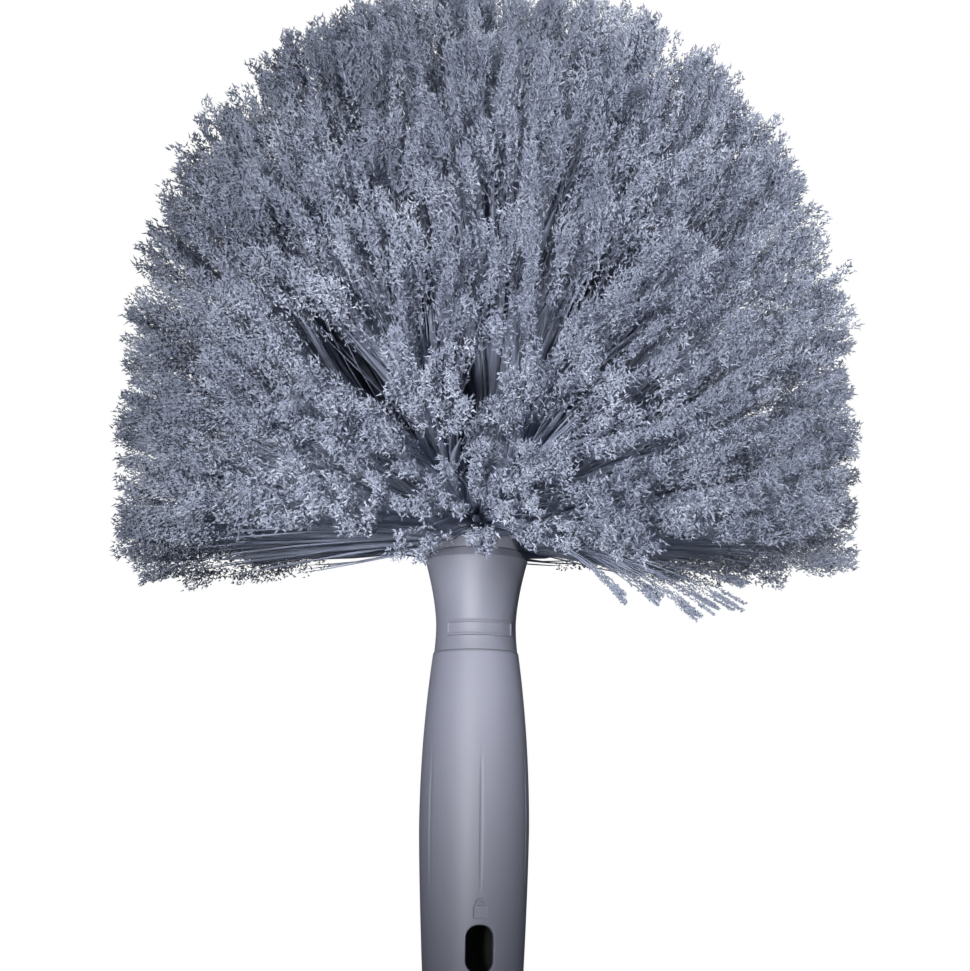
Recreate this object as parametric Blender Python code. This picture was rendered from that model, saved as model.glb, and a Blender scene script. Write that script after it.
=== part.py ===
"""A cobweb duster: a domed brush of soft tufts on a hollow handle that slips over a pole.

The handle is two mouldings, a fluted grip and a waisted collar. A domed block stands on the collar,
and its stem runs down through both, where one screw draws the three together. The tufts sit in
holes drilled in the dome. Metres, +Z up; the origin is the centre of the pole socket's mouth.
"""
import math
import random

import bmesh
import bpy
from mathutils import Matrix, Vector

MM = 0.001

# Grip: the lower moulding, from its open end up to the shoulder under the collar
GRIP_LENGTH = 109.8 * MM
GRIP_END_RADIUS = 15.2 * MM
GRIP_BELLY_RADIUS = 17.3 * MM
GRIP_BELLY_HEIGHT = 55 * MM
GRIP_TOP_RADIUS = 13.6 * MM
GRIP_EDGE = 0.5 * MM
LOWER_TAPER_POWER = 1.4
UPPER_TAPER_POWER = 2

# Pole socket: the tapered bore of the grip, closed by the end wall that the screw passes
SOCKET_WALL = 2.5 * MM
SOCKET_TAPER = 3.2 * MM
END_WALL = 4 * MM
SPIGOT_RECESS = 6 * MM

# Catch slot: the window that the pole's sprung catch clicks into
SLOT_WIDTH = 8.6 * MM
SLOT_HEIGHT = 14.4 * MM
SLOT_BOTTOM = 11 * MM
SLOT_CORNER = 3.8 * MM

# Flutes: shallow finger lines round the belly
FLUTE_COUNT = 6
FLUTE_LENGTH = 46 * MM
FLUTE_WIDTH = 1.8 * MM
FLUTE_DEPTH = 0.9 * MM
FLUTE_MIDDLE = 57.4 * MM

# Collar: the upper moulding, waisted, with a flared lip and a bare badge
COLLAR_FOOT_RADIUS = 13.3 * MM
COLLAR_WAIST_RADIUS = 12.75 * MM
COLLAR_WAIST_HEIGHT = 8.9 * MM
COLLAR_LIP_RADIUS = 16.4 * MM
COLLAR_LIP_HEIGHT = 29.6 * MM
COLLAR_FLARE_POWER = 1.6
COLLAR_CHAMFER = 2.5 * MM
COLLAR_LAND = 0.4 * MM
COLLAR_RIM = 3.5 * MM
COLLAR_WALL = 2 * MM
COLLAR_WEB = 4 * MM
BADGE_ANGLE = 104
BADGE_HEIGHT = 4.8 * MM
BADGE_MIDDLE = 6.9 * MM
BADGE_RELIEF = 0.45 * MM

# Spigot: the tube above the grip's shoulder, which centres the collar
SPIGOT_WALL = 2.4 * MM
SPIGOT_LENGTH = 12 * MM

# Brush block: a dome with a plug and a stem under it
BLOCK_RADIUS = 13.6 * MM
BLOCK_SKIRT = 1.5 * MM
BLOCK_DOME = 24 * MM
STEM_RADIUS = 5 * MM

# Screw and washer that clamp the stem to the end wall
SCREW_RADIUS = 2.2 * MM
SCREW_ROOT_RADIUS = 1.7 * MM
SCREW_PITCH = 2.2 * MM
SCREW_BITE = 16 * MM
SCREW_HEAD_RADIUS = 4.4 * MM
SCREW_HEAD = 3 * MM
DRIVE_RADIUS = 1.6 * MM
DRIVE_DEPTH = 1.6 * MM
PILOT_ROOM = 1 * MM
WASHER_RADIUS = 6.5 * MM
WASHER_THICKNESS = 1 * MM

# Tuft rows from the collar up: how many, and the angles of their place on the dome, hole and tips
TUFT_ROWS = (
    (13, 8, 0, -2),
    (13, 22, 13, 14),
    (11, 36, 28, 31),
    (8, 51, 45, 49),
    (5, 68, 66, 68),
    (1, 90, 90, 90),
)
TUFT_RADIUS = 1.3 * MM
TUFT_DEPTH = 3 * MM
TUFT_PROUD = 0.4 * MM

# Strands: each wedge of a tuft's root runs out to its own place in the room round the tuft
STRANDS_PER_TUFT = 8
STRAND_WIDTHS = (1.3 * MM, 4.4 * MM, 2.8 * MM)
STRAND_PLACE_SHARES = (0.32, 0.74, 1.0)
STRAND_BOW_SHARE = 0.45
STRAND_SPREAD_SHARES = (0.26, 0.46)
STRAND_TRIM_SHARE = 0.03
ROW_PITCH_ANGLE = 17
CROWN_PITCH_ANGLE = 24
BACK_LIFT_ANGLE = 12
SEED = 7

# Head: how far the tips reach from its centre, level with the block's foot and straight up
SIDE_REACH = 116 * MM
TOP_REACH = 180 * MM
REACH_POWER = 1.55

SEAT_GAP = 0.3 * MM
BORE_GAP = 0.4 * MM
OVERRUN = 2 * MM

HANDLE_SIDES = 40
BLOCK_SIDES = 32
SMALL_SIDES = 14
DOME_RINGS = 7

# Sizes and heights that follow from the ones above
SOCKET_MOUTH_RADIUS = GRIP_END_RADIUS - SOCKET_WALL
SOCKET_END_RADIUS = SOCKET_MOUTH_RADIUS - SOCKET_TAPER
RECESS_FLOOR = GRIP_LENGTH - SPIGOT_RECESS
SOCKET_DEPTH = RECESS_FLOOR - END_WALL
SPIGOT_RADIUS = COLLAR_WAIST_RADIUS - COLLAR_WALL - SEAT_GAP
SPIGOT_TOP = GRIP_LENGTH + SPIGOT_LENGTH
COLLAR_FOOT = GRIP_LENGTH + SEAT_GAP
WEB_FOOT = SPIGOT_TOP + SEAT_GAP
WEB_TOP = WEB_FOOT + COLLAR_WEB
COLLAR_TOP = COLLAR_FOOT + COLLAR_LIP_HEIGHT + COLLAR_CHAMFER
COLLAR_TOP_RADIUS = BLOCK_RADIUS + COLLAR_LAND
COLLAR_SEAT_RADIUS = COLLAR_TOP_RADIUS - COLLAR_RIM
BLOCK_FOOT = COLLAR_TOP + SEAT_GAP
DOME_FOOT = BLOCK_FOOT + BLOCK_SKIRT
STEM_FOOT = RECESS_FLOOR + SEAT_GAP
HEAD_CENTRE = DOME_FOOT + BLOCK_SKIRT


def clear_scene():
    for obj in list(bpy.data.objects):
        bpy.data.objects.remove(obj)


def material(name, colour, roughness, metallic=0.0):
    made = bpy.data.materials.new(name)
    made.use_nodes = True
    shader = made.node_tree.nodes["Principled BSDF"]
    shader.inputs["Base Color"].default_value = (*colour, 1)
    shader.inputs["Roughness"].default_value = roughness
    shader.inputs["Metallic"].default_value = metallic
    return made


def new_object(name, bm, finish=None):
    """An object made from a bmesh, shaded smooth between its corners."""
    mesh = bpy.data.meshes.new(name)
    bm.to_mesh(mesh)
    bm.free()
    mesh.shade_smooth()
    mesh.set_sharp_from_angle(angle=math.radians(40))
    if finish:
        mesh.materials.append(finish)
    obj = bpy.data.objects.new(name, mesh)
    bpy.context.scene.collection.objects.link(obj)
    return obj


def cut(obj, name, bm, operation="DIFFERENCE"):
    """Cuts a bmesh out of an object, or joins it on, through a hidden tool object."""
    tool = new_object(name, bm)
    tool.hide_render = True
    tool.display_type = "WIRE"
    modifier = obj.modifiers.new(name, "BOOLEAN")
    modifier.operation = operation
    modifier.solver = "EXACT"
    modifier.object = tool


def steps(start, end, count):
    return [start + (end - start) * i / count for i in range(count + 1)]


def turned(outline, sides, sweep=math.tau):
    """A bmesh spun about Z from an outline of (radius, height) points.

    An outline that starts and ends on the axis makes a solid, and any other is closed into a ring.
    """
    bm = bmesh.new()
    points = [bm.verts.new((radius, 0, height)) for radius, height in outline]
    geometry = points + [bm.edges.new(pair) for pair in zip(points, points[1:])]
    if outline[0][0] > 0:
        geometry.append(bm.edges.new((points[-1], points[0])))
    whole = sweep == math.tau
    if not whole:
        geometry.append(bm.faces.new(points))
    bmesh.ops.spin(bm, geom=geometry, axis=(0, 0, 1), angle=sweep, steps=sides, use_merge=whole)
    bmesh.ops.remove_doubles(bm, verts=bm.verts, dist=SEAT_GAP / 100)
    bmesh.ops.recalc_face_normals(bm, faces=bm.faces)
    return bm


def grip_radius(height):
    """The grip's outer radius: it swells from the open end to the belly, then draws in."""
    if height < GRIP_BELLY_HEIGHT:
        share = (GRIP_BELLY_HEIGHT - height) / GRIP_BELLY_HEIGHT
        return GRIP_BELLY_RADIUS - (GRIP_BELLY_RADIUS - GRIP_END_RADIUS) * share**LOWER_TAPER_POWER
    share = (height - GRIP_BELLY_HEIGHT) / (GRIP_LENGTH - GRIP_BELLY_HEIGHT)
    return GRIP_BELLY_RADIUS - (GRIP_BELLY_RADIUS - GRIP_TOP_RADIUS) * share**UPPER_TAPER_POWER


def collar_radius(height):
    """The collar's outer radius at a height above its foot: a waist, then a flare to the lip."""
    if height < COLLAR_WAIST_HEIGHT:
        share = 1 - height / COLLAR_WAIST_HEIGHT
        return COLLAR_WAIST_RADIUS + (COLLAR_FOOT_RADIUS - COLLAR_WAIST_RADIUS) * share**2
    share = (height - COLLAR_WAIST_HEIGHT) / (COLLAR_LIP_HEIGHT - COLLAR_WAIST_HEIGHT)
    return COLLAR_WAIST_RADIUS + (COLLAR_LIP_RADIUS - COLLAR_WAIST_RADIUS) * share**COLLAR_FLARE_POWER


def dome_point(angle):
    """(radius, height) on the block's dome, from 0 degrees at its foot to 90 at its top."""
    turn = math.radians(angle)
    return BLOCK_RADIUS * math.cos(turn), DOME_FOOT + BLOCK_DOME * math.sin(turn)


def slot_shape():
    """A bar with rounded corners that cuts the catch slot through the front wall."""
    bm = bmesh.new()
    half_width = SLOT_WIDTH / 2 - SLOT_CORNER
    half_height = SLOT_HEIGHT / 2 - SLOT_CORNER
    front = -GRIP_BELLY_RADIUS - OVERRUN
    points = []
    for start, x_way, z_way in ((0, 1, 1), (90, -1, 1), (180, -1, -1), (270, 1, -1)):
        for turn in steps(math.radians(start), math.radians(start + 90), 4):
            x = x_way * half_width + SLOT_CORNER * math.cos(turn)
            z = z_way * half_height + SLOT_CORNER * math.sin(turn)
            points.append(bm.verts.new((x, front, SLOT_BOTTOM + SLOT_HEIGHT / 2 + z)))
    extruded = bmesh.ops.extrude_face_region(bm, geom=[bm.faces.new(points)])
    far = [item for item in extruded["geom"] if isinstance(item, bmesh.types.BMVert)]
    bmesh.ops.translate(bm, verts=far, vec=(0, -front, 0))
    bmesh.ops.recalc_face_normals(bm, faces=bm.faces)
    return bm


def flute_shapes():
    """Spindles centred on the belly's surface: their buried halves leave the flutes."""
    bm = bmesh.new()
    size = Matrix.Diagonal((FLUTE_WIDTH / 2, FLUTE_DEPTH, FLUTE_LENGTH / 2, 1))
    place = Matrix.Translation((0, -grip_radius(FLUTE_MIDDLE), FLUTE_MIDDLE))
    for index in range(FLUTE_COUNT):
        turn = Matrix.Rotation(math.tau * index / FLUTE_COUNT, 4, "Z")
        made = bmesh.ops.create_uvsphere(bm, u_segments=8, v_segments=8, radius=1)
        bmesh.ops.transform(bm, matrix=turn @ place @ size, verts=made["verts"])
    return bm


def badge_shape():
    """A bare plate that follows the waist and stands a little proud of it, facing the front."""
    heights = steps(BADGE_MIDDLE - BADGE_HEIGHT / 2, BADGE_MIDDLE + BADGE_HEIGHT / 2, 3)
    outer = [(collar_radius(z) + BADGE_RELIEF, COLLAR_FOOT + z) for z in heights]
    inner = [(collar_radius(z) - BADGE_RELIEF, COLLAR_FOOT + z) for z in reversed(heights)]
    bm = turned(outer + inner, 16, math.radians(BADGE_ANGLE))
    facing = Matrix.Rotation(math.radians(-90 - BADGE_ANGLE / 2), 4, "Z")
    bmesh.ops.transform(bm, matrix=facing, verts=bm.verts)
    return bm


def build_grip(finish):
    """The grip: a tapered socket below its end wall, and a spigot with a recess above it."""
    hole = SCREW_RADIUS + BORE_GAP
    outline = [
        (SOCKET_MOUTH_RADIUS + GRIP_EDGE, 0),
        (GRIP_END_RADIUS - GRIP_EDGE, 0),
        *[(grip_radius(z), z) for z in steps(GRIP_EDGE, GRIP_LENGTH, 14)],
        (SPIGOT_RADIUS, GRIP_LENGTH),
        (SPIGOT_RADIUS, SPIGOT_TOP),
        (SPIGOT_RADIUS - SPIGOT_WALL, SPIGOT_TOP),
        (SPIGOT_RADIUS - SPIGOT_WALL, RECESS_FLOOR),
        (hole, RECESS_FLOOR),
        (hole, SOCKET_DEPTH),
        (SOCKET_END_RADIUS, SOCKET_DEPTH),
        (SOCKET_MOUTH_RADIUS, GRIP_EDGE),
    ]
    grip = new_object("grip", turned(outline, HANDLE_SIDES), finish)
    cut(grip, "slot_cutter", slot_shape())
    cut(grip, "flute_cutter", flute_shapes())


def build_collar(finish):
    """The collar: a socket for the spigot below its web, and a seat for the block above it."""
    bore = SPIGOT_RADIUS + SEAT_GAP
    hole = STEM_RADIUS + SEAT_GAP
    outline = [
        (bore, COLLAR_FOOT),
        *[(collar_radius(z), COLLAR_FOOT + z) for z in steps(0, COLLAR_LIP_HEIGHT, 10)],
        (COLLAR_TOP_RADIUS, COLLAR_TOP),
        (COLLAR_SEAT_RADIUS, COLLAR_TOP),
        (COLLAR_SEAT_RADIUS, WEB_TOP),
        (hole, WEB_TOP),
        (hole, WEB_FOOT),
        (bore, WEB_FOOT),
    ]
    collar = new_object("collar", turned(outline, HANDLE_SIDES), finish)
    cut(collar, "badge_pad", badge_shape(), "UNION")


def build_block(finish, frames):
    """The block: dome, plug and stem in one, with a hole drilled for each tuft."""
    plug = COLLAR_SEAT_RADIUS - SEAT_GAP
    pilot = SCREW_RADIUS + SEAT_GAP
    pilot_top = STEM_FOOT + SCREW_BITE + SCREW_RADIUS + PILOT_ROOM
    outline = [
        (0, pilot_top),
        (pilot, pilot_top),
        (pilot, STEM_FOOT),
        (STEM_RADIUS, STEM_FOOT),
        (STEM_RADIUS, WEB_TOP + SEAT_GAP),
        (plug, WEB_TOP + SEAT_GAP),
        (plug, BLOCK_FOOT),
        (BLOCK_RADIUS, BLOCK_FOOT),
        *[dome_point(angle) for angle in steps(0, 90, DOME_RINGS)[:-1]],
        (0, DOME_FOOT + BLOCK_DOME),
    ]
    block = new_object("brush_block", turned(outline, BLOCK_SIDES), finish)
    holes = bmesh.new()
    for frame in frames:
        add_rod(holes, frame, TUFT_RADIUS + SEAT_GAP, -TUFT_DEPTH - SEAT_GAP, OVERRUN)
    cut(block, "tuft_holes", holes)


def build_screw(finish):
    """A pan-head screw, up through the end wall into the stem's pilot hole."""
    head_top = SOCKET_DEPTH - WASHER_THICKNESS - 2 * SEAT_GAP
    head_foot = head_top - SCREW_HEAD
    thread_top = STEM_FOOT + SCREW_BITE
    ridges = []
    for foot in steps(STEM_FOOT, thread_top, round(SCREW_BITE / SCREW_PITCH))[:-1]:
        ridges += [(SCREW_ROOT_RADIUS, foot), (SCREW_RADIUS, foot + SCREW_PITCH / 2)]
    outline = [
        (0, head_foot + DRIVE_DEPTH),
        (DRIVE_RADIUS, head_foot + DRIVE_DEPTH),
        (DRIVE_RADIUS, head_foot),
        (SCREW_HEAD_RADIUS - SCREW_HEAD / 3, head_foot),
        (SCREW_HEAD_RADIUS, head_foot + SCREW_HEAD / 3),
        (SCREW_HEAD_RADIUS, head_top),
        (SCREW_RADIUS, head_top),
        (SCREW_RADIUS, STEM_FOOT - SCREW_PITCH / 2),
        *ridges,
        (SCREW_ROOT_RADIUS, thread_top),
        (0, thread_top + SCREW_RADIUS),
    ]
    new_object("block_screw", turned(outline, SMALL_SIDES), finish)


def build_washer(finish):
    hole = SCREW_RADIUS + BORE_GAP
    top = SOCKET_DEPTH - SEAT_GAP
    foot = top - WASHER_THICKNESS
    outline = [(hole, foot), (WASHER_RADIUS, foot), (WASHER_RADIUS, top), (hole, top)]
    new_object("screw_washer", turned(outline, SMALL_SIDES), finish)


def direction(azimuth, elevation):
    flat = math.cos(elevation)
    return Vector((flat * math.cos(azimuth), flat * math.sin(azimuth), math.sin(elevation)))


def tuft_places():
    """(name, frame, azimuth, tip angle, azimuth pitch) of every tuft.

    The frame's origin is where the tuft leaves the dome, its Z is the way it leaves, its X runs
    round the block and its Y runs up it.
    """
    for row, (count, place, hole, tip) in enumerate(TUFT_ROWS, 1):
        radius, height = dome_point(place)
        for index in range(count):
            azimuth = math.tau * (index + 0.5 * (row % 2)) / count
            axis = direction(azimuth, math.radians(hole))
            across = Vector((-math.sin(azimuth), math.cos(azimuth), 0))
            frame = Matrix((across, axis.cross(across), axis)).transposed().to_4x4()
            frame.translation = (radius * math.cos(azimuth), radius * math.sin(azimuth), height)
            yield f"tuft_{row}_{index + 1:02d}", frame, azimuth, math.radians(tip), math.tau / count


def add_rod(bm, frame, radius, foot, top):
    """Adds a rod along the frame's Z, with a fan of wedges on each end."""
    place = Matrix.Translation((0, 0, (foot + top) / 2))
    bmesh.ops.create_cone(
        bm,
        cap_ends=True,
        cap_tris=True,
        segments=STRANDS_PER_TUFT,
        radius1=radius,
        radius2=radius,
        depth=top - foot,
        matrix=frame @ place @ Matrix.Rotation(math.pi / STRANDS_PER_TUFT, 4, "Z"),
    )


def tip_point(azimuth, elevation, trim):
    """Where a strand ends: the head's outline, lifted where it hangs behind the handle."""
    back_share = ((1 + math.sin(azimuth)) / 2) ** 3
    level_share = 1 - elevation / (math.pi / 2)
    elevation += math.radians(BACK_LIFT_ANGLE) * back_share * level_share
    rise = max(math.sin(elevation), 0) ** REACH_POWER
    reach = SIDE_REACH + (TOP_REACH - SIDE_REACH) * rise
    return Vector((0, 0, HEAD_CENTRE)) + direction(azimuth, elevation) * reach * trim


def strand_tip(index, azimuth, elevation, pitch, trim):
    """The tip of one strand, set out round the middle of its tuft's room."""
    turn = math.tau * index / STRANDS_PER_TUFT
    spread = STRAND_SPREAD_SHARES[index % 2]
    if pitch == math.tau:
        aside = azimuth + math.pi / 2 + turn
        return tip_point(aside, elevation - math.radians(CROWN_PITCH_ANGLE) * spread, trim)
    aside = pitch * spread * math.cos(turn)
    up = math.radians(ROW_PITCH_ANGLE) * spread * math.sin(turn)
    return tip_point(azimuth + aside, elevation + up, trim)


def grow_strand(bm, wedge, axis, tip):
    """Draws a wedge of the tuft's root out along a bow, as a three-sided strand."""
    root = wedge.calc_center_median()
    corners = [vert.co - root for vert in wedge.verts]
    handle = root + axis * (tip - root).length * STRAND_BOW_SHARE
    for place, width in zip(STRAND_PLACE_SHARES, STRAND_WIDTHS):
        wedge = bmesh.ops.extrude_discrete_faces(bm, faces=[wedge])["faces"][0]
        inner = root.lerp(handle, place)
        outer = handle.lerp(tip, place)
        way = (outer - inner).normalized()
        for vert, corner in zip(wedge.verts, corners):
            flat = corner - way * corner.dot(way)
            vert.co = inner.lerp(outer, place) + flat.normalized() * width / 2


def build_tuft(finish, chance, name, frame, azimuth, elevation, pitch):
    """A tuft: the root that fills its hole, with a strand grown from each wedge of its end."""
    bm = bmesh.new()
    add_rod(bm, frame, TUFT_RADIUS, -TUFT_DEPTH, TUFT_PROUD)
    bm.normal_update()
    axis = frame.col[2].xyz
    ends = [face for face in bm.faces if face.normal.dot(axis) > math.cos(math.pi / STRANDS_PER_TUFT)]
    turned_back = frame.inverted()
    for wedge in ends:
        middle = turned_back @ wedge.calc_center_median()
        index = round(math.atan2(middle.y, middle.x) / math.tau * STRANDS_PER_TUFT)
        trim = 1 - STRAND_TRIM_SHARE * chance.random()
        grow_strand(bm, wedge, axis, strand_tip(index, azimuth, elevation, pitch, trim))
    new_object(name, bm, finish)


def main():
    clear_scene()
    shell = material("handle_plastic", (0.33, 0.34, 0.41), 0.42)
    inner = material("block_plastic", (0.28, 0.29, 0.35), 0.5)
    steel = material("zinc_steel", (0.62, 0.63, 0.65), 0.35, 1.0)
    fibre = material("bristle_fibre", (0.15, 0.17, 0.22), 0.7)
    places = list(tuft_places())
    build_grip(shell)
    build_collar(shell)
    build_block(inner, [frame for _, frame, *_ in places])
    build_screw(steel)
    build_washer(steel)
    chance = random.Random(SEED)
    for place in places:
        build_tuft(fibre, chance, *place)


main()
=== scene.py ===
# Cobweb duster: a grey plastic grip and collar that carry a dome of flagged bristles.
# Lengths are in metres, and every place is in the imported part's own frame.
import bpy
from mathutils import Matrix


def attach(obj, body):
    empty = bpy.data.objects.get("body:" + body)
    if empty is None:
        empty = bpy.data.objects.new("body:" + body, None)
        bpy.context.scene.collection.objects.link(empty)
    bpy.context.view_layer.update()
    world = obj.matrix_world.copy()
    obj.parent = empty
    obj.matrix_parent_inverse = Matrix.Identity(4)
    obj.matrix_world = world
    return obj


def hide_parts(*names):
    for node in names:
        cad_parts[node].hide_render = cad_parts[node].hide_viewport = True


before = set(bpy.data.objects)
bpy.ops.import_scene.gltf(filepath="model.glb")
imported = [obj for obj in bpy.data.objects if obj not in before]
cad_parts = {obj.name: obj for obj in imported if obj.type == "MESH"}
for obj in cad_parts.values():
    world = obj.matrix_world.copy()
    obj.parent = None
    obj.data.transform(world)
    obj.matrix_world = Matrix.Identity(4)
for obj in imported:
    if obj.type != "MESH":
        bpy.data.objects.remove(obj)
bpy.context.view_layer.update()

import math
import random

import bmesh
import bpy
from mathutils import Matrix, Vector


# The photograph's view: a long lens at the height of the grip's lower half, tipped up towards the
# head. The slot faces a little to the viewer's right, and the duster leans slightly the same way.
MM = 0.001
VIEW_DISTANCE = 650 * MM
VIEW_HEIGHT = 38.2 * MM
VIEW_TURN = math.radians(7.5)
VIEW_PAN = math.radians(0.22)
VIEW_PITCH = math.radians(11)
VIEW_ROLL = math.radians(0.5)
VIEW_NEAREST = 10 * MM
LENS = 75.66
SENSOR = 36

camera = bpy.data.objects.new("camera", bpy.data.cameras.new("camera"))
camera.data.lens = LENS
camera.data.sensor_width = SENSOR
camera.data.clip_start = VIEW_NEAREST
camera.matrix_world = (
    Matrix.Translation((
        -VIEW_DISTANCE * math.sin(VIEW_TURN),
        -VIEW_DISTANCE * math.cos(VIEW_TURN),
        VIEW_HEIGHT,
    ))
    @ Matrix.Rotation(-VIEW_TURN - VIEW_PAN, 4, "Z")
    @ Matrix.Rotation(math.pi / 2 + VIEW_PITCH, 4, "X")
    @ Matrix.Rotation(VIEW_ROLL, 4, "Z")
)
bpy.context.scene.collection.objects.link(camera)
bpy.context.scene.camera = camera
bpy.context.scene.view_settings.view_transform = "Standard"


# The light: a narrow soft box low on the viewer's left, a second from the upper right for the
# head, a wide one above and behind, and a dim room with a touch of blue. The camera itself sees
# the white backdrop of the photograph.
ROOM_COLOUR = (0.8, 0.88, 1, 1)
ROOM_STRENGTH = 0.08
WHITE = (1, 1, 1, 1)


class Wire:
    """A node's output that can stand in a sum: each operator adds its Math node."""

    def __init__(self, socket):
        self.socket = socket

    def maths(self, operation, *values):
        """The Math node of an operation on values, or a Vector Math node where one is a vector."""
        wires = [value for value in values if isinstance(value, Wire)]
        vector = any(wire.socket.type == "VECTOR" for wire in wires)
        kind = "ShaderNodeVectorMath" if vector else "ShaderNodeMath"
        return Nodes(self.socket.id_data)(kind, {"operation": operation}, dict(enumerate(values)))

    def named(self, name):
        """Another output of the same node."""
        outputs = self.socket.node.outputs
        return Wire(next(output for output in outputs if output.name == name and output.enabled))

    def __add__(self, other):
        return self.maths("ADD", self, other)

    def __sub__(self, other):
        return self.maths("SUBTRACT", self, other)

    def __mul__(self, other):
        return self.maths("MULTIPLY", self, other)

    def __pow__(self, other):
        return self.maths("POWER", self, other)

    def __radd__(self, other):
        return self.maths("ADD", other, self)

    def __rsub__(self, other):
        return self.maths("SUBTRACT", other, self)

    def __rmul__(self, other):
        return self.maths("MULTIPLY", other, self)


class Nodes:
    """Adds nodes to a tree: a type, its settings, and its inputs by name or by place."""

    def __init__(self, tree):
        self.tree = tree

    def __call__(self, kind, settings=None, inputs=None):
        node = self.tree.nodes.new(kind)
        for name, value in (settings or {}).items():
            if name == "stops":
                self.set_stops(node.color_ramp, value)
            else:
                setattr(node, name, value)
        for name, value in (inputs or {}).items():
            if isinstance(name, int):
                socket = node.inputs[name]
            else:
                socket = next(way_in for way_in in node.inputs if way_in.name == name and way_in.enabled)
            for item in value if isinstance(value, list) else [value]:
                if isinstance(item, Wire):
                    self.tree.links.new(item.socket, socket)
                elif socket.type == "VECTOR" and isinstance(item, (int, float)):
                    socket.default_value = (item, item, item)
                else:
                    socket.default_value = item
        outputs = [output for output in node.outputs if output.enabled]
        return Wire(outputs[0]) if outputs else None

    def set_stops(self, ramp, stops):
        while len(ramp.elements) < len(stops):
            ramp.elements.new(1)
        for element, (position, colour) in zip(ramp.elements, stops):
            element.position = position
            element.color = (*colour, 1)


def softbox(name, place, target, size, power, spread=180):
    """A round lamp at a place, turned to a target, with its light held in a cone of degrees."""
    light = bpy.data.lights.new(name, "AREA")
    light.spread = math.radians(spread)
    light.shape = "DISK"
    light.size = size
    light.energy = power
    lamp = bpy.data.objects.new(name, light)
    turn = (Vector(target) - Vector(place)).to_track_quat("-Z", "Y")
    lamp.matrix_world = Matrix.Translation(place) @ turn.to_matrix().to_4x4()
    bpy.context.scene.collection.objects.link(lamp)


softbox("key_softbox", place=(-0.35, -0.84, 0.06), target=(0.026, 0, 0.166),
        size=0.16, power=0.3, spread=24)
softbox("head_softbox", place=(0.4, -0.82, 0.4), target=(0.07, 0, 0.28),
        size=0.3, power=0.32, spread=27)
softbox("back_softbox", place=(0.05, 0.9, 0.6), target=(0, 0, 0.2), size=0.6, power=4.5)

world = bpy.data.worlds.new("studio")
world.use_nodes = True
world.node_tree.nodes.clear()
room = Nodes(world.node_tree)
white = room("ShaderNodeBackground", {}, {"Color": WHITE, "Strength": 1})
dim = room("ShaderNodeBackground", {}, {"Color": ROOM_COLOUR, "Strength": ROOM_STRENGTH})
seen = room("ShaderNodeLightPath").named("Is Camera Ray")
backdrop = room("ShaderNodeMixShader", {}, {0: seen, 1: dim, 2: white})
room("ShaderNodeOutputWorld", {}, {"Surface": backdrop})
bpy.context.scene.world = world


# The floor: a pale matt sheet under the grip's open end. Part of its brightness is its own glow,
# which grows outwards until the sheet runs out into the white backdrop. It casts no light back on
# the duster.
FLOOR_RADIUS = 3
FLOOR_SEGMENTS = 96
FLOOR_DROP = 0.5 * MM
FLOOR_PALE = 110 * MM
FLOOR_WHITE = 205 * MM
FLOOR_GLOW = 0.7
FLOOR_COLOUR = (0.86, 0.87, 0.88, 1)
SHARP_ANGLE = math.radians(38)


def new_object(name, shape, *finishes):
    """An object at the origin made from a bmesh, shaded smooth between its corners."""
    mesh = bpy.data.meshes.new(name)
    shape.to_mesh(mesh)
    shape.free()
    mesh.shade_smooth()
    mesh.set_sharp_from_angle(angle=SHARP_ANGLE)
    for finish in finishes:
        mesh.materials.append(finish)
    piece = bpy.data.objects.new(name, mesh)
    bpy.context.scene.collection.objects.link(piece)
    return piece


def new_finish(name):
    """A material with an empty tree: (material, its nodes)."""
    finish = bpy.data.materials.new(name)
    finish.use_nodes = True
    finish.node_tree.nodes.clear()
    return finish, Nodes(finish.node_tree)


floor_finish, nodes = new_finish("pale_floor")
place = nodes("ShaderNodeTexCoord").named("Object")
away = nodes("ShaderNodeVectorMath", {"operation": "LENGTH"}, {0: place}).named("Value")
blend = nodes("ShaderNodeMapRange", {"interpolation_type": "SMOOTHSTEP"},
              {"Value": away, "From Min": FLOOR_PALE, "From Max": FLOOR_WHITE, "To Min": FLOOR_GLOW})
pale = nodes("ShaderNodeBsdfDiffuse", {}, {"Color": FLOOR_COLOUR})
glow = nodes("ShaderNodeEmission", {}, {"Color": WHITE, "Strength": 1})
sheet = nodes("ShaderNodeMixShader", {}, {0: blend, 1: pale, 2: glow})
nodes("ShaderNodeOutputMaterial", {}, {"Surface": sheet})

shape = bmesh.new()
bmesh.ops.create_circle(shape, cap_ends=True, segments=FLOOR_SEGMENTS, radius=FLOOR_RADIUS)
bmesh.ops.translate(shape, verts=shape.verts, vec=(0, 0, -FLOOR_DROP))
floor = new_object("floor", shape, floor_finish)
floor.visible_diffuse = False
floor.visible_glossy = False


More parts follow.
